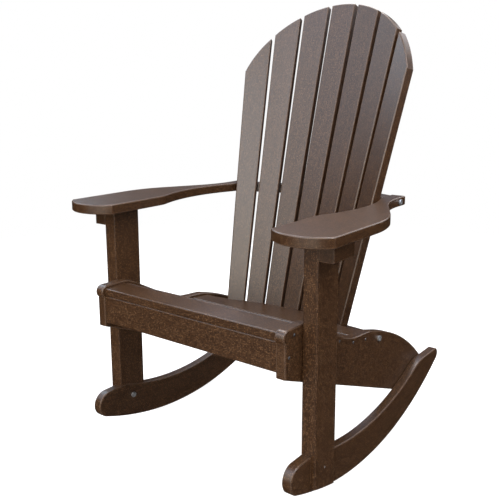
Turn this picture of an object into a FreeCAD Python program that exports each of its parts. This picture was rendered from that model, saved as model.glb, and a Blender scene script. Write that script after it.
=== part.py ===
import FreeCAD, Part
import math
import os

V = FreeCAD.Vector

# Rocking adirondack chair of recycled plastic boards. Sizes are in millimetres.
# +X is the sitter's left, -Y is the front and +Z is up.
# While it is modelled, y is 0 at the front faces of the legs and z is 0 on the floor.

# Boards
seat_width = 546.0          # between the side rails
side_rail_thickness = 25.0
rocker_thickness = 25.0
leg_thickness = 38.0
leg_depth = 88.0
apron_thickness = 25.0
seat_slat_thickness = 21.0
back_slat_thickness = 25.0
arm_thickness = 25.0
back_rail_thickness = 25.0
edge_round = 3.0            # rounded long edges of the straight boards
edge_break = 2.0            # broken edges of the boards with a curved outline

# Rockers: two concentric arcs, a round nose and a tail that are flat on top
rocker_radius = 885.0
rocker_height = 90.0
contact_y = 272.0           # where the rockers touch the floor at rest
nose_radius = 35.0
nose_y = -43.0
tail_top_z = 162.5
tail_radius = 18.0
tail_blend_radius = 150.0
foot_lift = 10.0            # from the underside of the rocker to the leg's foot

# Side rails of the seat
rail_front_y = -67.0
rail_front_low_z = 332.0
rail_front_high_z = 442.0
rail_nose_radius = 17.0
rail_nose_overhang = 7.0
rail_underside_slope = 22.0     # degrees
rail_tail_lift = 12.0           # from the underside of the rocker to the side rail's tail

# Seat's line along the top of a side rail: places and rounding radii of its corners
seat_break_y = 20.0
seat_break_radius = 90.0
seat_bucket_y = 216.0
seat_bucket_z = 338.5
seat_bucket_radius = 220.0
seat_knee_y = 327.0
seat_knee_z = 329.0
seat_knee_radius = 100.0
hump_y = 533.0
hump_z = 271.5
hump_radius = 720.0
hump_end_y = 682.0
hump_end_z = 140.0

# Seat slats
seat_lip = 7.0              # side rails stand this proud of the slats
front_slat_front_y = -63.0
front_slat_width = 70.0
front_slat_gap = 12.0
seat_slat_width = 66.0
seat_slat_gap = 4.0
seat_slat_count = 4         # between the front slat and the rear slat
rear_slat_end_y = 345.0
rear_slat_clearance = 1.5   # from the rear slat to the back slats
apron_low_z = 342.0

# Back: seven tapered slats that fan out along two concave rails
back_slat_count = 7
low_level_z = 312.0         # where the back meets the seat
low_centre_y = 402.0
low_radius = 383.0
low_pitch = 59.8
low_slat_width = 52.0
high_level_z = 658.0        # top of the arms
high_centre_y = 509.0
high_radius = 462.0
high_pitch = 71.3
high_slat_width = 62.0
slat_foot_length = 60.0     # of a slat below the seat
crown_radius = 283.0        # arch of the back's top
crown_top_z = 1199.0

# Rails that carry the back
low_rail_end_front_y = 343.0
low_rail_end_depth = 68.0
low_rail_middle_rear_y = 482.0
low_rail_z = 291.0          # of the middle of the lower rail's ends
high_rail_front_y = 420.0   # before the back is cut from it
high_rail_end_rear_y = 521.0
high_rail_middle_rear_y = 568.0

# Arms
arm_inner_x = 248.0
arm_outer_x = 403.5
arm_nose_rise = 36.0        # of the round front, ahead of its corners
arm_corner_y = -51.0
arm_waist_start_y = 125.0
arm_waist_end_y = 480.0
arm_waist_bulge = 33.0      # of the inner edge, towards the outside
arm_waist_blend = 90.0
arm_sweep_start_y = 138.0
arm_tongue_length = 42.0
arm_sweep_angle = 28.0      # degrees
arm_rear_y = 532.0
arm_tongue_width = 40.0
cleat_thickness = 38.0
cleat_height = 45.0

# Fasteners
hole_clearance = 0.05
bolt_radius = 4.0
bolt_head_width = 13.0      # across flats
bolt_head_height = 5.5
leg_bolt_grip = 30.0        # in a leg, past the side rail
low_rail_bolt_grip = 50.0   # in the lower back rail, past the side rail
low_rail_bolt_rise = 4.0    # above the middle of that rail's end
arm_bolt_grip = 20.0        # in the upper back rail, past the arm
rocker_bolt_end = 1.0       # short of the leg's outer face
rocker_bolt_z = 92.0
leg_bolt_low_z = 322.0
leg_bolt_high_z = 366.0
arm_bolt_inset = 34.0       # from the rear end of the arm

# Sizes that follow
rail_inner_x = seat_width / 2
rail_outer_x = rail_inner_x + side_rail_thickness
leg_outer_x = rail_outer_x + leg_thickness
arm_top_z = high_level_z
arm_low_z = arm_top_z - arm_thickness
rocker_centre = V(0, contact_y, rocker_radius)
rocker_top_radius = rocker_radius - rocker_height
seat_front_top_z = rail_front_high_z - seat_lip
arm_tongue_outer_x = arm_inner_x + arm_tongue_width
arm_tongue_y = arm_rear_y - arm_tongue_length
X = V(1, 0, 0)
Z = V(0, 0, 1)


def line(a, b):
    return Part.makeLine(a, b)


def arc(a, middle, b):
    return Part.Arc(a, middle, b).toShape()


def rounded_path(start, corners, end):
    """Straight runs from start to end, whose corners are rounded: (point, radius) each."""
    points = [start] + [p for p, radius in corners] + [end]
    edges = []
    here = start
    for number, (corner, radius) in enumerate(corners):
        before = (points[number] - corner).normalize()
        after = (points[number + 2] - corner).normalize()
        half_angle = before.getAngle(after) / 2
        reach = radius / math.tan(half_angle)
        middle = (before + after).normalize() * (radius / math.sin(half_angle) - radius)
        edges.append(line(here, corner + before * reach))
        edges.append(arc(corner + before * reach, corner + middle, corner + after * reach))
        here = corner + after * reach
    edges.append(line(here, end))
    return edges


def bulge(start, end, rise, blend):
    """Edge between two points in line along Y that swells by rise; blend rounds both its ends."""
    half = (end.y - start.y) / 2
    total = (half ** 2 + rise ** 2) / (2 * abs(rise))
    lean = math.asin(abs(half) / total)
    side = math.copysign(1, rise)
    run = math.copysign(1, half)
    near = V(side * blend * (1 - math.cos(lean)), run * blend * math.sin(lean), 0)
    near_half = V(side * blend * (1 - math.cos(lean / 2)), run * blend * math.sin(lean / 2), 0)
    top = V(rise, half, 0)
    flip = V(near.x, -near.y, 0)
    flip_half = V(near_half.x, -near_half.y, 0)
    return [arc(start, start + near_half, start + near), arc(start + near, start + top, end + flip),
            arc(end + flip, end + flip_half, end)]


def sweep(start, end, angle):
    """Edge along Y that leans by angle to a parallel line, with two equal arcs."""
    turn = math.radians(angle)
    drop = abs(end.x - start.x)
    run = abs(end.y - start.y)
    straight = (drop * math.sin(turn) - run * (1 - math.cos(turn))) / (
        math.sin(turn) ** 2 - math.cos(turn) * (1 - math.cos(turn)))
    radius = (run - straight * math.cos(turn)) / (2 * math.sin(turn))
    x = math.copysign(1, end.x - start.x)
    y = math.copysign(1, end.y - start.y)

    def on(part):
        return V(x * radius * (1 - math.cos(part)), y * radius * math.sin(part), 0)

    return [arc(start, start + on(turn / 2), start + on(turn)), line(start + on(turn), end - on(turn)),
            arc(end - on(turn), end - on(turn / 2), end)]


def on_circle(centre, radius, angle):
    """Point of a circle in the YZ plane; the angle is in radians from +Y towards +Z."""
    return centre + V(0, radius * math.cos(angle), radius * math.sin(angle))


def angle_from(centre, point):
    return math.atan2(point.z - centre.z, point.y - centre.y)


def circle_arc(centre, radius, start, end):
    """Arc in the YZ plane between two angles."""
    return arc(on_circle(centre, radius, start), on_circle(centre, radius, (start + end) / 2),
               on_circle(centre, radius, end))


def outline_solid(edges, direction, thickness):
    return Part.Face(Part.Wire(Part.__sortEdges__(edges))).extrude(direction * thickness)


def board(edges, direction, thickness):
    """Flat board from its outline, with the edges of its two faces broken."""
    solid = outline_solid(edges, direction, thickness)

    def along_a_face(edge):
        start, end = edge.Vertexes[0].Point, edge.Vertexes[-1].Point
        return abs((end - start).dot(direction)) < thickness / 2

    return solid.makeChamfer(edge_break, [e for e in solid.Edges if along_a_face(e)])


def mirrored(shape):
    """The other side's twin."""
    return shape.mirror(V(0, 0, 0), X)


def rod(start, direction, length, radius):
    return Part.makeCylinder(radius, length, start, direction)


def hexagon(base, direction, height):
    """Nut or bolt head that grows from base along X, in this direction."""
    corner = bolt_head_width / math.sqrt(3)
    points = [on_circle(base, corner, math.radians(60 * i)) for i in range(6)]
    return Part.Face(Part.makePolygon(points + points[:1])).extrude(direction * height)


def bolt(seat_point, direction, length):
    """Bolt whose hexagonal head stands on the surface at seat_point."""
    head = hexagon(seat_point, direction * -1, bolt_head_height)
    return head.fuse(rod(seat_point, direction, length, bolt_radius)).removeSplitter()


def bolt_hole(seat_point, direction, length):
    return rod(seat_point, direction, length + hole_clearance, bolt_radius + hole_clearance)


# Rockers

tail_z = tail_top_z - tail_radius
tail_y = contact_y + math.sqrt((rocker_radius - tail_radius) ** 2 - (rocker_radius - tail_z) ** 2)


def rocker_edges():
    """Outline of a rocker on the outer face of its side rail."""
    inner = X * rail_outer_x
    centre = rocker_centre + inner
    # the nose circle touches the underside, and its flat top runs back to the top arc
    nose_reach = rocker_radius - nose_radius
    nose_drop = math.sqrt(nose_reach ** 2 - (contact_y - nose_y) ** 2)
    nose_centre = V(0, nose_y, rocker_radius - nose_drop) + inner
    to_nose = angle_from(centre, nose_centre)
    nose_top = nose_centre + Z * nose_radius
    flat_run = math.sqrt(rocker_top_radius ** 2 - (rocker_radius - nose_top.z) ** 2)
    flat_end = V(nose_top.x, contact_y - flat_run, nose_top.z)
    # the tail's top is flat and blends into the top arc
    blend_z = tail_top_z - tail_blend_radius
    blend_reach = rocker_top_radius + tail_blend_radius
    blend_y = contact_y + math.sqrt(blend_reach ** 2 - (rocker_radius - blend_z) ** 2)
    blend_centre = V(0, blend_y, blend_z) + inner
    to_blend = angle_from(centre, blend_centre)
    tail_centre = V(0, tail_y, tail_z) + inner
    to_tail = angle_from(centre, tail_centre)
    upright = math.pi / 2
    forward = math.pi
    return [
        circle_arc(centre, rocker_radius, to_nose, to_tail),
        circle_arc(tail_centre, tail_radius, to_tail, upright),
        line(tail_centre + Z * tail_radius, blend_centre + Z * tail_blend_radius),
        circle_arc(blend_centre, tail_blend_radius, upright, to_blend + math.pi),
        circle_arc(centre, rocker_top_radius, to_blend, angle_from(centre, flat_end)),
        line(flat_end, nose_top),
        circle_arc(nose_centre, nose_radius, upright, forward),
        circle_arc(nose_centre, nose_radius, forward, to_nose + 2 * math.pi),
    ]


def underside_z(y, lift=0.0):
    """Height of the rocker's underside at y, or of a curve this far above it."""
    return rocker_radius - math.sqrt((rocker_radius - lift) ** 2 - (y - contact_y) ** 2)


def rocker():
    return board(rocker_edges(), X, rocker_thickness)


# Legs: the foot is notched over the rocker, and its tongue ends in a curve above the rocker's

def leg():
    post = Part.makeBox(leg_thickness, leg_depth, arm_low_z, V(rail_outer_x, 0, 0))
    foot = Part.makeBox(leg_thickness, leg_depth, tail_top_z, V(rail_outer_x, 0, 0))
    curve = Part.makeCylinder(rocker_radius - foot_lift, leg_thickness, rocker_centre + X * rail_outer_x, X)
    post = post.cut(foot.cut(curve))
    upright = [e for e in post.Edges if e.BoundBox.ZLength > arm_low_z / 2]
    notch = outline_solid(rocker_edges(), X, rocker_thickness)
    return post.makeFillet(edge_round, upright).cut(notch)


# Side rails of the seat

nose_end_y = rail_front_y - rail_nose_overhang + rail_nose_radius


def seat_line(x=0.0):
    """Top of a side rail from its nose to its tail, at x."""
    corners = [(V(x, seat_break_y, rail_front_high_z), seat_break_radius),
               (V(x, seat_bucket_y, seat_bucket_z), seat_bucket_radius),
               (V(x, seat_knee_y, seat_knee_z), seat_knee_radius),
               (V(x, hump_y, hump_z), hump_radius)]
    return rounded_path(V(x, nose_end_y, rail_front_high_z), corners, V(x, hump_end_y, hump_end_z))


def side_rail():
    nose_centre = V(rail_inner_x, nose_end_y, rail_front_high_z - rail_nose_radius)
    drop = math.acos((rail_nose_radius - rail_nose_overhang) / rail_nose_radius)
    neck = on_circle(nose_centre, rail_nose_radius, math.pi + drop)
    low_front = V(rail_inner_x, rail_front_y, rail_front_low_z)
    # the underside runs straight back to the tail, which follows the rocker
    slope = math.tan(math.radians(rail_underside_slope))
    tail_arc_radius = rocker_radius - rail_tail_lift
    centre = rocker_centre + X * rail_inner_x
    rise = rail_front_low_z + slope * rail_front_y - rocker_radius
    a = 1 + slope ** 2
    b = -2 * (contact_y + rise * slope)
    c = contact_y ** 2 + rise ** 2 - tail_arc_radius ** 2
    cross_y = (-b + math.sqrt(b * b - 4 * a * c)) / (2 * a)
    cross = V(rail_inner_x, cross_y, rail_front_low_z - slope * (cross_y - rail_front_y))
    tail_end = V(rail_inner_x, hump_end_y, underside_z(hump_end_y, rail_tail_lift))
    start_angle = angle_from(centre, cross)
    end_angle = angle_from(centre, tail_end)
    edges = [
        line(low_front, neck),
        circle_arc(nose_centre, rail_nose_radius, math.pi + drop, math.pi / 2),
        *seat_line(rail_inner_x),
        line(V(rail_inner_x, hump_end_y, hump_end_z), tail_end),
        circle_arc(centre, tail_arc_radius, end_angle, start_angle),
        line(cross, low_front),
    ]
    return board(edges, X, side_rail_thickness)


# Seat

def rounded_slat(front, back, low, high):
    """Slat across the seat with rounded long edges, flat as it is made."""
    slat = Part.makeBox(seat_width, back - front, high - low, V(-rail_inner_x, front, low))
    long_edges = [e for e in slat.Edges if e.BoundBox.XLength > seat_width / 2]
    return slat.makeFillet(edge_round, long_edges)


def front_seat_slat():
    return rounded_slat(front_slat_front_y, front_slat_front_y + front_slat_width,
                        seat_front_top_z - seat_slat_thickness, seat_front_top_z)


def seat_station(distance):
    """Point of the seat's line, this far from its nose end."""
    for edge in seat_line():
        if distance <= edge.Length:
            return edge.valueAt(edge.getParameterByLength(distance))
        distance -= edge.Length


first_slat_start = front_slat_front_y + front_slat_width + front_slat_gap - nose_end_y
slat_pitch = seat_slat_width + seat_slat_gap


def slat_seat(index):
    """Middle of a seat slat on the seat's line, and its slope in degrees."""
    start = seat_station(first_slat_start + index * slat_pitch)
    end = seat_station(first_slat_start + index * slat_pitch + seat_slat_width)
    return (start + end) * 0.5, math.degrees(math.atan2(end.z - start.z, end.y - start.y))


def seat_slat(index):
    half = seat_slat_width / 2
    slat = rounded_slat(-half, half, -seat_lip - seat_slat_thickness, -seat_lip)
    middle, slope = slat_seat(index)
    return slat.rotate(V(0, 0, 0), X, slope).translate(middle)


# Back

def back_axis(index):
    """A back slat's middle at the two levels, and the directions along it, across it and ahead."""
    low_angle = index * low_pitch / low_radius
    high_angle = index * high_pitch / high_radius
    low = V(low_radius * math.sin(low_angle),
            low_centre_y - low_radius * (1 - math.cos(low_angle)), low_level_z)
    high = V(high_radius * math.sin(high_angle),
             high_centre_y - high_radius * (1 - math.cos(high_angle)), high_level_z)
    along = (high - low).normalize()
    turn = (low_angle + high_angle) / 2
    across = V(math.cos(turn), -math.sin(turn), 0)
    across = (across - along * across.dot(along)).normalize()
    return low, high, along, across, across.cross(along)


def slat_widening():
    """Half of what a slat's width grows by per millimetre of its length."""
    low, high = back_axis(0)[:2]
    return (high_slat_width - low_slat_width) / (high - low).Length / 2


def crown_length(index, side):
    """Length of a slat's edge or middle, side -1, 0 or 1, from the seat level to the arch."""
    low, high, along, across, ahead = back_axis(index)
    lean = back_axis(0)[2].z
    start = low + across * (side * low_slat_width / 2)
    step = along + across * (side * slat_widening())
    centre_z = crown_top_z - crown_radius * lean
    # meets x squared plus the leaning height squared equal to the radius squared
    a = step.x ** 2 + (step.z / lean) ** 2
    b = 2 * (start.x * step.x + (start.z - centre_z) * step.z / lean ** 2)
    c = start.x ** 2 + ((start.z - centre_z) / lean) ** 2 - crown_radius ** 2
    return (-b + math.sqrt(b * b - 4 * a * c)) / (2 * a)


def to_slat_frame(shape, index):
    """Place a shape made with x across a slat, y along it from the seat, and z ahead of its face."""
    low, high, along, across, ahead = back_axis(index)
    placed = shape.copy()
    placed.Placement = FreeCAD.Placement(FreeCAD.Matrix(across.x, along.x, ahead.x, low.x,
                                                        across.y, along.y, ahead.y, low.y,
                                                        across.z, along.z, ahead.z, low.z))
    return placed


def back_slat(index):
    """Tapered slat, round at the top where the arch of the back cuts it."""
    def corner(length, side):
        return V(side * (low_slat_width / 2 + slat_widening() * length), length, 0)

    foot_left = corner(-slat_foot_length, -1)
    foot_right = corner(-slat_foot_length, 1)
    top_left = corner(crown_length(index, -1), -1)
    top_middle = corner(crown_length(index, 0), 0)
    top_right = corner(crown_length(index, 1), 1)
    edges = [line(foot_left, foot_right), line(foot_right, top_right),
             arc(top_right, top_middle, top_left), line(top_left, foot_left)]
    return to_slat_frame(board(edges, Z * -1, back_slat_thickness), index)


slat_numbers = [i - back_slat_count // 2 for i in range(back_slat_count)]


def ahead_of_back(depth):
    """All the space ahead of the slats, up to this depth behind their front faces."""
    size = 2 * high_level_z
    block = Part.makeBox(2 * size, 2 * size, size, V(-size, -size, -depth))
    space = to_slat_frame(block, 0)
    for index in slat_numbers:
        space = space.common(to_slat_frame(block, index))
    return space


rear_slat_front = seat_station(first_slat_start + seat_slat_count * slat_pitch) - Z * seat_lip
rear_slat_run = V(0, low_centre_y, low_level_z) - rear_slat_front
rear_slat_slope = math.degrees(math.atan2(rear_slat_run.z, rear_slat_run.y))


def rear_seat_slat():
    """Wide slat whose rear edge follows the curve of the back, while its ends stop short of it."""
    front = rear_slat_front
    low, high, along, across, ahead = back_axis(slat_numbers[-1])
    bay = (low + across * low_slat_width / 2).x + rear_slat_clearance
    rear = low_centre_y + back_slat_thickness
    half = [V(rail_inner_x, front.y, front.z), V(rail_inner_x, rear_slat_end_y, front.z),
            V(bay, rear_slat_end_y, front.z), V(bay, rear, front.z)]
    outline = half + [V(-p.x, p.y, p.z) for p in reversed(half)]
    slat = Part.Face(Part.makePolygon(outline + outline[:1])).extrude(Z * -seat_slat_thickness)
    slat = slat.makeFillet(edge_round, [e for e in slat.Edges if abs(e.CenterOfMass.y - front.y) < 1
                                        and e.BoundBox.XLength > 2 * bay])
    slat.rotate(front, X, rear_slat_slope)
    place_of_back = Part.makeBox(2 * bay, rear, rear, V(-bay, 0, 0))
    return slat.cut(place_of_back.cut(ahead_of_back(-rear_slat_clearance)))


def apron():
    return rounded_slat(front_slat_front_y, front_slat_front_y + apron_thickness,
                        apron_low_z, seat_front_top_z - seat_slat_thickness)


def back_rail(half_width, front, end_rear, middle_rear, low_z):
    """Flat rail with a bowed rear edge; the back is still to be cut from its front."""
    corners = [V(half_width, end_rear, low_z), V(half_width, front, low_z),
               V(-half_width, front, low_z), V(-half_width, end_rear, low_z)]
    bow = arc(corners[3], V(0, middle_rear, low_z), corners[0])
    edges = [line(corners[i], corners[i + 1]) for i in range(3)] + [bow]
    rail = outline_solid(edges, Z, back_rail_thickness)
    bows = [e for e in rail.Edges if e.Curve.TypeId == bow.Curve.TypeId]
    return rail.makeChamfer(edge_break, bows)


back_lean = math.atan2(high_centre_y - low_centre_y, high_level_z - low_level_z)
low_rail_middle = V(0, low_rail_end_front_y + low_rail_end_depth / 2, low_rail_z)


def lower_back_rail():
    """Rail at the seat, square to the slats, whose front is faceted to seat them."""
    rail = back_rail(rail_inner_x, low_rail_end_front_y, low_rail_end_front_y + low_rail_end_depth,
                     low_rail_middle_rear_y, low_rail_z - back_rail_thickness / 2)
    rail.rotate(low_rail_middle, X, -math.degrees(back_lean))
    return rail.cut(ahead_of_back(back_slat_thickness))


def upper_back_rail():
    """Rail between the arms and level with them, whose front is faceted to seat the slats."""
    rail = back_rail(arm_inner_x, high_rail_front_y, high_rail_end_rear_y, high_rail_middle_rear_y,
                     arm_top_z - back_rail_thickness)
    return rail.cut(ahead_of_back(back_slat_thickness))


# Arms

arm_half_width = (arm_outer_x - arm_inner_x) / 2
arm_front_y = arm_corner_y - arm_nose_rise


def arm():
    """Arm with a round front, a waist beside the back and a tongue that ends behind it."""
    def at(x, y):
        return V(x, y, arm_low_z)

    edges = [
        arc(at(arm_inner_x, arm_corner_y), at(arm_inner_x + arm_half_width, arm_front_y),
            at(arm_outer_x, arm_corner_y)),
        line(at(arm_outer_x, arm_corner_y), at(arm_outer_x, arm_sweep_start_y)),
        *sweep(at(arm_outer_x, arm_sweep_start_y), at(arm_tongue_outer_x, arm_tongue_y), arm_sweep_angle),
        line(at(arm_tongue_outer_x, arm_tongue_y), at(arm_tongue_outer_x, arm_rear_y)),
        line(at(arm_tongue_outer_x, arm_rear_y), at(arm_inner_x, arm_rear_y)),
        line(at(arm_inner_x, arm_rear_y), at(arm_inner_x, arm_waist_end_y)),
        *bulge(at(arm_inner_x, arm_waist_end_y), at(arm_inner_x, arm_waist_start_y),
               arm_waist_bulge, arm_waist_blend),
        line(at(arm_inner_x, arm_waist_start_y), at(arm_inner_x, arm_corner_y)),
    ]
    return board(edges, Z, arm_thickness)


def arm_cleat():
    corner = V(leg_outer_x, 0, arm_low_z - cleat_height)
    block = Part.makeBox(cleat_thickness, leg_depth, cleat_height, corner)
    outer = leg_outer_x + cleat_thickness
    rounded = [e for e in block.Edges if abs(e.CenterOfMass.x - outer) < 0.01
               and e.CenterOfMass.z < arm_low_z - 0.01]
    return block.makeFillet(edge_round, rounded)


# Assembly: the boards, then the fasteners with their holes

nodes = {
    "left_rocker": rocker(),
    "left_front_leg": leg(),
    "left_side_rail": side_rail(),
    "left_arm": arm(),
    "left_arm_cleat": arm_cleat(),
}
for name in list(nodes):
    nodes[name.replace("left", "right")] = mirrored(nodes[name])
nodes["front_apron"] = apron()
nodes["front_seat_slat"] = front_seat_slat()
seat_slat_names = [f"seat_slat_{number + 2}" for number in range(seat_slat_count)]
for number, name in enumerate(seat_slat_names):
    nodes[name] = seat_slat(number)
nodes["rear_seat_slat"] = rear_seat_slat()
nodes["lower_back_rail"] = lower_back_rail()
nodes["upper_back_rail"] = upper_back_rail()
for number, index in enumerate(slat_numbers):
    nodes[f"back_slat_{number + 1}"] = back_slat(index)

fasteners = {}


def bolt_pair(group, seat_point, direction, length, names):
    """Add a bolt on the left and its twin on the right, through the named boards."""
    solid = bolt(seat_point, direction, length)
    hole = bolt_hole(seat_point, direction, length)
    fasteners.setdefault(group, []).extend([solid, mirrored(solid)])
    for name in names:
        nodes[name] = nodes[name].cut(hole)
        twin = name.replace("left", "right")
        nodes[twin] = nodes[twin].cut(mirrored(hole))


for z in (leg_bolt_low_z, leg_bolt_high_z):
    bolt_pair("leg_bolts", V(rail_inner_x, leg_depth / 2, z), X, side_rail_thickness + leg_bolt_grip,
              ["left_side_rail", "left_front_leg"])
bolt_pair("rocker_bolts", V(rail_outer_x, leg_depth / 2, rocker_bolt_z), X, leg_thickness - rocker_bolt_end,
          ["left_rocker", "left_front_leg"])
low_rail_bolt_seat = low_rail_middle + V(rail_outer_x, 0, low_rail_bolt_rise)
bolt_pair("lower_rail_bolts", low_rail_bolt_seat, X * -1, side_rail_thickness + low_rail_bolt_grip,
          ["left_side_rail", "lower_back_rail"])
arm_bolt_seat = V(arm_tongue_outer_x, arm_rear_y - arm_bolt_inset, arm_top_z - back_rail_thickness / 2)
bolt_pair("arm_bolts", arm_bolt_seat, X * -1, arm_tongue_width + arm_bolt_grip,
          ["left_arm", "upper_back_rail"])

for group, shapes in fasteners.items():
    nodes[group] = Part.makeCompound(shapes)

# The origin is on the floor, halfway between the fronts of the arms and the tails of the rockers
rocker_rear_y = tail_y + tail_radius
os.makedirs("parts", exist_ok=True)
for name, shape in nodes.items():
    shape.translate(V(0, -(arm_front_y + rocker_rear_y) / 2, 0))
    shape.exportStep(f"parts/{name}.step")
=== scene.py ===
import math

import bmesh
import bpy
from mathutils import Euler, Matrix, Vector


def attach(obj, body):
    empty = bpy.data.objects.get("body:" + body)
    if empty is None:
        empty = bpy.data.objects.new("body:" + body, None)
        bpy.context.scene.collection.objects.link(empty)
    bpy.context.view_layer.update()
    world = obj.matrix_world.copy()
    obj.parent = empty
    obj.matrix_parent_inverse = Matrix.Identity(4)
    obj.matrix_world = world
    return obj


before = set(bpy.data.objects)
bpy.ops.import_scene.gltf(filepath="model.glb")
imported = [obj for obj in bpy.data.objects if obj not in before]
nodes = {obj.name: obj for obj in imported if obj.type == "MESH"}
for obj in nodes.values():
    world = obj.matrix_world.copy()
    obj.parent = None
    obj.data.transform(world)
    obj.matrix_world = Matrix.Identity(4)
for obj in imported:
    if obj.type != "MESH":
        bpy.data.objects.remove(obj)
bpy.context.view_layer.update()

# Rocking adirondack chair of dark brown, embossed plastic boards. Lengths are in metres.

QUARTER_TURN = math.radians(90)

# Colours of the boards and the steel
BROWN_DARK = (0.0140, 0.0057, 0.0019, 1)
BROWN = (0.0400, 0.0168, 0.0060, 1)
FLECK = (0.172, 0.089, 0.041, 1)
# paler colour painted along every board edge as a painted highlight
EDGE_HIGHLIGHT_PAINT = (0.150, 0.094, 0.062, 1)
BOLT_BRIGHT = (0.41, 0.42, 0.44, 1)
BOLT_STAINED = (0.18, 0.178, 0.175, 1)
SCREW_BRIGHT = (0.20, 0.215, 0.24, 1)
SCREW_STAINED = (0.09, 0.092, 0.10, 1)

# Skin of the boards: cells to the metre, and scales along, across and through a board, where under 1
# draws the pattern out
GRAIN_SCALE = 440.0
FLECK_SCALE = 500.0
STREAK_SCALE = 340.0
CLOUD_SCALE = 9.0
GRAIN_STRETCH = (0.5, 1.1, 1.1)
STREAK_STRETCH = (0.06, 1.0, 1.0)
ARM_STREAK_STRETCH = (0.06, 0.06, 1.3)  # level streaks on the arms' sawn edges
EMBOSS_STRENGTH = 0.24
EMBOSS_DEPTH = 0.0005
EDGE_RADIUS = 0.0026
CROSS_BOARD_EDGE_RADIUS = 0.0019
BACK_LEAN = math.radians(17.2)

# Small screws and bolt tips
SCREW_HEAD_RADIUS = 0.0036
SCREW_HEAD_RISE = 0.0011
RECESS_RADIUS = 0.0013
RECESS_DEPTH = 0.0009
BOLT_TIP_RADIUS = 0.0024
BOLT_TIP_RISE = 0.0006

# Places of the small screws, as y and z
RAIL_SCREWS = {"front_apron": (-0.379, 0.379), "front_seat_slat": (-0.360, 0.426),
               "seat_slat_3": (-0.2242, 0.3785), "seat_slat_4": (-0.1605, 0.3503),
               "seat_slat_5": (-0.0904, 0.3255), "rear_seat_slat": (-0.0245, 0.3141)}
TAIL_SCREWS = ((0.218, 0.106), (0.273, 0.120), (0.325, 0.134))
BOLT_TIP = (-0.284, 0.0917)
CLEAT_SCREWS = (-0.294, -0.272)         # y only; they point up into the cleats from below
CLEAT_SCREW_X = 0.355
UPPER_BACK_SCREW_Z = 0.6455
LOWER_BACK_RAIL_HEIGHTS = [0.250 + step * 0.003 for step in range(30)]

# Starts of the lines that find a board's surface
OUTSIDE_X = 0.5
BETWEEN_RAILS_X = 0.2
UNDER_CLEAT_Z = 0.3
BEFORE_BACK_Y = -0.6
BEHIND_SLAT = 0.3
BACK_SCAN_X = [step * 0.004 for step in range(-75, 76)]

# Softboxes: degrees round from the front towards the sitter's left, degrees up, watts of red, green and blue
SOFTBOXES = ((-10, 10, (41, 40, 37)), (20, 10, (76, 69, 59)), (100, 35, (90, 90, 95)),
             (165, 30, (40, 40, 42)), (-150, 35, (12, 14, 18)), (-107, 36, (39, 46, 54)),
             (-78, 35, (22, 25, 29)), (-45, 35, (27, 29, 33)), (-15, 35, (39, 38, 39)),
             (15, 35, (70, 73, 76)), (-140, 62, (148, 141, 141)), (-25, 62, (26, 35, 49)),
             (80, 62, (146, 150, 155)))
SOFTBOX_SIZE = 2.0
SOFTBOX_DISTANCE = 4.0
SOFTBOX_AIM = Vector((0, 0, 0.6))

# Floor: half its side, the reach over which it fades to the white studio, and its glow
FLOOR_HALF = 4.0
FLOOR_FADE = (1.4, 3.0)
FLOOR_GLOW = 0.95

# Camera at the photo's angle, in degrees, millimetres and shares of the picture
CAMERA_PLACE = (1.0593, -1.5296, 0.9443)
CAMERA_AROUND = 37.28
CAMERA_DOWN = 11.02
CAMERA_ROLL = -0.17
CAMERA_LENS = 49.03
CAMERA_SENSOR = 36.0
CAMERA_SHIFT = (0.0063, -0.0541)


# Materials

def new_material(name):
    material = bpy.data.materials.new(name)
    material.use_nodes = True
    tree = material.node_tree
    return material, tree, tree.nodes["Principled BSDF"]


def add(tree, kind, inputs=None, **settings):
    """Add a shader node; inputs holds socket values, or other nodes' outputs to link."""
    node = tree.nodes.new(kind)
    for key, value in settings.items():
        setattr(node, key, value)
    for key, value in (inputs or {}).items():
        if isinstance(value, bpy.types.NodeSocket):
            tree.links.new(value, node.inputs[key])
        else:
            node.inputs[key].default_value = value
    return node


def mix_colour(tree, factor, a, b, blend="MIX"):
    node = tree.nodes.new("ShaderNodeMix")
    node.data_type = "RGBA"
    node.blend_type = blend
    for socket, value in ((node.inputs[0], factor), (node.inputs[6], a), (node.inputs[7], b)):
        if isinstance(value, bpy.types.NodeSocket):
            tree.links.new(value, socket)
        else:
            socket.default_value = value
    return node.outputs[2]


def maths(tree, operation, a, b=0.0):
    return add(tree, "ShaderNodeMath", {0: a, 1: b}, operation=operation).outputs[0]


def fitted(tree, value, low, high, to_low=0.0, to_high=1.0):
    """Clamped map from one range to another."""
    return add(tree, "ShaderNodeMapRange", {"Value": value, "From Min": low, "From Max": high,
                                            "To Min": to_low, "To Max": to_high}).outputs["Result"]


def noise(tree, place, scale, detail=2.0, roughness=0.5):
    return add(tree, "ShaderNodeTexNoise", {"Vector": place, "Scale": scale, "Detail": detail,
                                            "Roughness": roughness}).outputs["Fac"]


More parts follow.
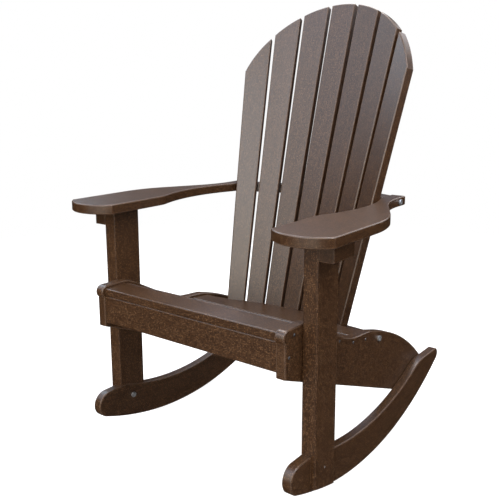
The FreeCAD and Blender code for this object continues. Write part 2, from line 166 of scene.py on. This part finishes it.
def lumber(name, turn, streak_stretch=STREAK_STRETCH, streak_share=0.10, fleck_share=0.75,
           edge_radius=EDGE_RADIUS):
    """Embossed plastic board with fine flecks; turn brings its length onto x."""
    material, tree, shader = new_material(name)
    place = add(tree, "ShaderNodeTexCoord").outputs["Object"]
    board = add(tree, "ShaderNodeObjectInfo").outputs["Random"]
    shifted = add(tree, "ShaderNodeVectorMath", {0: place, 1: board}, operation="ADD").outputs[0]
    turned = add(tree, "ShaderNodeMapping", {"Vector": shifted, "Rotation": turn}).outputs["Vector"]
    drawn = add(tree, "ShaderNodeMapping", {"Vector": turned, "Scale": GRAIN_STRETCH}).outputs["Vector"]
    grain = noise(tree, drawn, GRAIN_SCALE, 3.0, 0.65)
    clouds = noise(tree, turned, CLOUD_SCALE)
    streaked = add(tree, "ShaderNodeMapping", {"Vector": turned, "Scale": streak_stretch}).outputs["Vector"]
    streaks = noise(tree, streaked, STREAK_SCALE)

    # a fleck in about four cells of ten
    cells = add(tree, "ShaderNodeTexVoronoi", {"Vector": drawn, "Scale": FLECK_SCALE})
    chance = add(tree, "ShaderNodeSeparateColor", {"Color": cells.outputs["Color"]}).outputs[0]
    spot = maths(tree, "MULTIPLY", fitted(tree, chance, 0.52, 0.66),
                 fitted(tree, cells.outputs["Distance"], 0.22, 0.50, 1.0, 0.0))

    colour = mix_colour(tree, fitted(tree, grain, 0.41, 0.59), BROWN_DARK, BROWN)
    colour = mix_colour(tree, fitted(tree, streaks, 0.50, 0.75, 0.0, streak_share), colour, FLECK)
    colour = mix_colour(tree, maths(tree, "MULTIPLY", spot, fleck_share), colour, FLECK)
    shade = maths(tree, "ADD", fitted(tree, clouds, 0.3, 0.7, 0.94, 1.03),
                  maths(tree, "MULTIPLY", board, 0.08))
    shade = add(tree, "ShaderNodeCombineColor", {0: shade, 1: shade, 2: shade}).outputs[0]
    colour = mix_colour(tree, 1.0, colour, shade, "MULTIPLY")

    # rounded edges, with a paler colour painted along them as a painted highlight, broken up a little by the
    # grain
    rounded = add(tree, "ShaderNodeBevel", {"Radius": edge_radius}, samples=6).outputs["Normal"]
    flat = add(tree, "ShaderNodeNewGeometry").outputs["True Normal"]
    facing = add(tree, "ShaderNodeVectorMath", {0: rounded, 1: flat},
                 operation="DOT_PRODUCT").outputs["Value"]
    painted_edge_highlight = maths(tree, "MULTIPLY", fitted(tree, facing, 0.99, 0.91),
                fitted(tree, grain, 0.3, 0.6, 0.6, 0.8))
    colour = mix_colour(tree, painted_edge_highlight, colour, EDGE_HIGHLIGHT_PAINT)

    height = maths(tree, "ADD", grain, maths(tree, "MULTIPLY", streaks, 0.6))
    height = maths(tree, "ADD", height, maths(tree, "MULTIPLY", spot, 0.3))
    bump = add(tree, "ShaderNodeBump", {"Height": height, "Normal": rounded,
                                        "Strength": EMBOSS_STRENGTH, "Distance": EMBOSS_DEPTH})
    tree.links.new(colour, shader.inputs["Base Color"])
    tree.links.new(fitted(tree, grain, 0.3, 0.7, 0.36, 0.31), shader.inputs["Roughness"])
    tree.links.new(bump.outputs["Normal"], shader.inputs["Normal"])
    return material


def steel(name, bright, stained, metallic):
    """Plain stainless steel, a little weathered."""
    material, tree, shader = new_material(name)
    place = add(tree, "ShaderNodeTexCoord").outputs["Object"]
    wear = noise(tree, place, 700.0, 3.0)
    stain = noise(tree, place, 160.0)
    colour = mix_colour(tree, fitted(tree, stain, 0.4, 0.7), bright, stained)
    tree.links.new(colour, shader.inputs["Base Color"])
    tree.links.new(fitted(tree, wear, 0.3, 0.7, 0.24, 0.42), shader.inputs["Roughness"])
    bump = add(tree, "ShaderNodeBump", {"Height": wear, "Strength": 0.15, "Distance": 0.0002})
    tree.links.new(bump.outputs["Normal"], shader.inputs["Normal"])
    shader.inputs["Metallic"].default_value = metallic
    return material


def studio_floor(name):
    """Pale ground that glows a little, and fades into the white studio round it."""
    material, tree, shader = new_material(name)
    place = add(tree, "ShaderNodeTexCoord").outputs["Object"]
    tone = fitted(tree, noise(tree, place, 1.5), 0.3, 0.7, 0.29, 0.31)
    colour = add(tree, "ShaderNodeCombineColor", {0: tone, 1: tone, 2: tone}).outputs[0]
    reach = add(tree, "ShaderNodeVectorMath", {0: place}, operation="LENGTH").outputs["Value"]
    tree.links.new(colour, shader.inputs["Base Color"])
    tree.links.new(fitted(tree, reach, *FLOOR_FADE, 1.0, 0.0), shader.inputs["Alpha"])
    shader.inputs["Roughness"].default_value = 0.9
    shader.inputs["Specular IOR Level"].default_value = 0.0
    shader.inputs["Emission Color"].default_value = (1, 1, 1, 1)
    shader.inputs["Emission Strength"].default_value = FLOOR_GLOW
    return material


across_boards = lumber("board_across", (0, 0, 0), edge_radius=CROSS_BOARD_EDGE_RADIUS)
lengthwise_boards = lumber("board_lengthwise", (0, 0, -QUARTER_TURN))
arm_boards = lumber("board_arm", (0, 0, -QUARTER_TURN), ARM_STREAK_STRETCH, streak_share=0.08,
                    fleck_share=0.5)
upright_boards = lumber("board_upright", (0, QUARTER_TURN, 0))
back_boards = lumber("board_back", (BACK_LEAN, QUARTER_TURN, 0), fleck_share=0.45)
bolt_steel = steel("bolt_steel", BOLT_BRIGHT, BOLT_STAINED, metallic=0.7)
screw_steel = steel("screw_steel", SCREW_BRIGHT, SCREW_STAINED, metallic=0.9)

for name, obj in nodes.items():
    if name.startswith("back_slat"):
        material = back_boards
    elif name.endswith("leg"):
        material = upright_boards
    elif name.endswith("arm"):
        material = arm_boards
    elif name.endswith(("rocker", "side_rail", "cleat")):
        material = lengthwise_boards
    elif name.endswith("bolts"):
        material = bolt_steel
    else:
        material = across_boards
    for slot in obj.material_slots:
        slot.material = material


# Small screws, seated on the boards that they go through

def ring_of_verts(bm, sides, height, reach):
    """Points at reach(angle) from the z axis."""
    angles = [2 * math.pi * i / sides for i in range(sides)]
    return [bm.verts.new((reach(angle) * math.cos(angle), reach(angle) * math.sin(angle), height))
            for angle in angles]


def turned_mesh(name, rings, material, sides=24):
    """Skin over rings of (height, reach), closed at the last one."""
    bm = bmesh.new()
    loops = [ring_of_verts(bm, sides, height, reach) for height, reach in rings]
    for lower, upper in zip(loops, loops[1:]):
        for i in range(sides):
            j = (i + 1) % sides
            bm.faces.new((lower[i], lower[j], upper[j], upper[i]))
    bm.faces.new(loops[-1])
    mesh = bpy.data.meshes.new(name)
    bm.to_mesh(mesh)
    bm.free()
    mesh.materials.append(material)
    return mesh


def dome(radius, rise, steps=5, reach=0.78):
    """Rings of a low dome, up to a share of the way to its pole."""
    rings = []
    for step in range(steps):
        angle = step / (steps - 1) * QUARTER_TURN * reach
        rings.append((rise * math.sin(angle), lambda around, r=radius * math.cos(angle): r))
    return rings


def square_reach(angle):
    """Reach of the square drive recess."""
    return RECESS_RADIUS / max(abs(math.cos(angle)), abs(math.sin(angle)))


head_rings = dome(SCREW_HEAD_RADIUS, SCREW_HEAD_RISE)
rim_height = head_rings[-1][0]
head_mesh = turned_mesh("screw_head", head_rings + [(rim_height, square_reach),
                                                    (rim_height - RECESS_DEPTH, square_reach)], screw_steel)
tip_mesh = turned_mesh("bolt_tip", dome(BOLT_TIP_RADIUS, BOLT_TIP_RISE, reach=0.9), bolt_steel)


def meet(board, start, direction):
    """Where a line first meets the board, and the board's normal there."""
    hit, place, normal, _ = nodes[board].ray_cast(Vector(start), Vector(direction).normalized())
    return (place, normal) if hit else None


def fasten(name, board, start, direction, mesh=head_mesh):
    """Seat a screw head, or a bolt tip, where a line from start meets the board."""
    found = meet(board, start, direction)
    if not found:
        raise ValueError(f"{name} misses {board}")
    place, normal = found
    obj = bpy.data.objects.new(name, mesh)
    bpy.context.collection.objects.link(obj)
    obj.matrix_world = Matrix.Translation(place) @ normal.to_track_quat("Z", "Y").to_matrix().to_4x4()
    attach(obj, "root")


def slat_middle(slat, z):
    """Middle of a back slat's front face at a height, and the face's normal."""
    hits = [found for x in BACK_SCAN_X
            if (found := meet(slat, (x, BEFORE_BACK_Y, z), (0, 1, 0))) and found[1].y < -0.5]
    if not hits:
        return None
    middle_x = (hits[0][0].x + hits[-1][0].x) / 2
    return meet(slat, (middle_x, BEFORE_BACK_Y, z), (0, 1, 0))


def rail_middle(rail, slat, heights):
    """Middle of a back rail's rear face behind a slat, and the way into it."""
    places = []
    for z in heights:
        front = slat_middle(slat, z)
        if not front:
            continue
        behind = meet(rail, front[0] - BEHIND_SLAT * front[1], front[1])
        if behind and behind[1].dot(front[1]) < -0.8:
            places.append((behind[0], front[1]))
    if not places:
        raise ValueError(f"{rail} has no rear face behind {slat}")
    return places[len(places) // 2]


for side, sign in (("left", 1), ("right", -1)):
    rail = f"{side}_side_rail"
    for board, (y, z) in RAIL_SCREWS.items():
        fasten(f"{side}_screw_{board}", rail, (sign * OUTSIDE_X, y, z), (-sign, 0, 0))
    for number, (y, z) in enumerate(TAIL_SCREWS, 1):
        fasten(f"{side}_tail_screw_{number}", rail, (sign * BETWEEN_RAILS_X, y, z), (sign, 0, 0))
    for number, y in enumerate(CLEAT_SCREWS, 1):
        fasten(f"{side}_cleat_screw_{number}", f"{side}_arm_cleat",
               (sign * CLEAT_SCREW_X, y, UNDER_CLEAT_Z), (0, 0, 1))
    fasten(f"{side}_rocker_bolt_tip", f"{side}_front_leg",
           (sign * OUTSIDE_X, *BOLT_TIP), (-sign, 0, 0), tip_mesh)

for number in range(1, 8):
    slat = f"back_slat_{number}"
    rear, inwards = rail_middle("lower_back_rail", slat, LOWER_BACK_RAIL_HEIGHTS)
    fasten(f"lower_back_screw_{number}", "lower_back_rail", rear - 0.05 * inwards, inwards)
    front, normal = slat_middle(slat, UPPER_BACK_SCREW_Z)
    level = Vector((normal.x, normal.y, 0)).normalized()
    fasten(f"upper_back_screw_{number}", "upper_back_rail", front - BEHIND_SLAT * level, level)

bpy.context.view_layer.update()


# Stage, lights and camera

def flat_floor():
    bm = bmesh.new()
    bmesh.ops.create_grid(bm, x_segments=8, y_segments=8, size=FLOOR_HALF)
    mesh = bpy.data.meshes.new("floor")
    bm.to_mesh(mesh)
    bm.free()
    mesh.materials.append(studio_floor("floor_pale"))
    obj = bpy.data.objects.new("floor", mesh)
    bpy.context.collection.objects.link(obj)
    obj.visible_glossy = False


def softbox(around, up, watts):
    light = bpy.data.lights.new(f"softbox_{around}_{up}", "AREA")
    light.shape = "SQUARE"
    light.size = SOFTBOX_SIZE
    light.energy = max(watts)
    light.color = [value / max(watts) for value in watts]
    obj = bpy.data.objects.new(light.name, light)
    bpy.context.collection.objects.link(obj)
    obj.visible_camera = False
    around, up = math.radians(around), math.radians(up)
    away = Vector((math.sin(around) * math.cos(up), -math.cos(around) * math.cos(up), math.sin(up)))
    place = SOFTBOX_AIM + SOFTBOX_DISTANCE * away
    obj.matrix_world = Matrix.Translation(place) @ (-away).to_track_quat("-Z", "Y").to_matrix().to_4x4()


def studio_world():
    """White to the camera, and nearly dark to the chair, which the softboxes light."""
    world = bpy.data.worlds.new("studio")
    world.use_nodes = True
    tree = world.node_tree
    ray = add(tree, "ShaderNodeLightPath").outputs["Is Camera Ray"]
    tree.links.new(mix_colour(tree, ray, (0.01, 0.01, 0.01, 1), (1, 1, 1, 1)),
                   tree.nodes["Background"].inputs["Color"])
    bpy.context.scene.world = world


flat_floor()
studio_world()
for around, up, watts in SOFTBOXES:
    softbox(around, up, watts)

camera = bpy.data.cameras.new("camera")
camera.lens = CAMERA_LENS
camera.sensor_width = CAMERA_SENSOR
camera.shift_x, camera.shift_y = CAMERA_SHIFT
camera_obj = bpy.data.objects.new("camera", camera)
bpy.context.collection.objects.link(camera_obj)
turn = Euler((math.radians(90 - CAMERA_DOWN), 0, math.radians(CAMERA_AROUND))).to_matrix()
roll = Matrix.Rotation(math.radians(CAMERA_ROLL), 3, "Z")
camera_obj.matrix_world = Matrix.Translation(CAMERA_PLACE) @ (turn @ roll).to_4x4()
bpy.context.scene.camera = camera_obj
bpy.context.scene.view_settings.view_transform = "Standard"
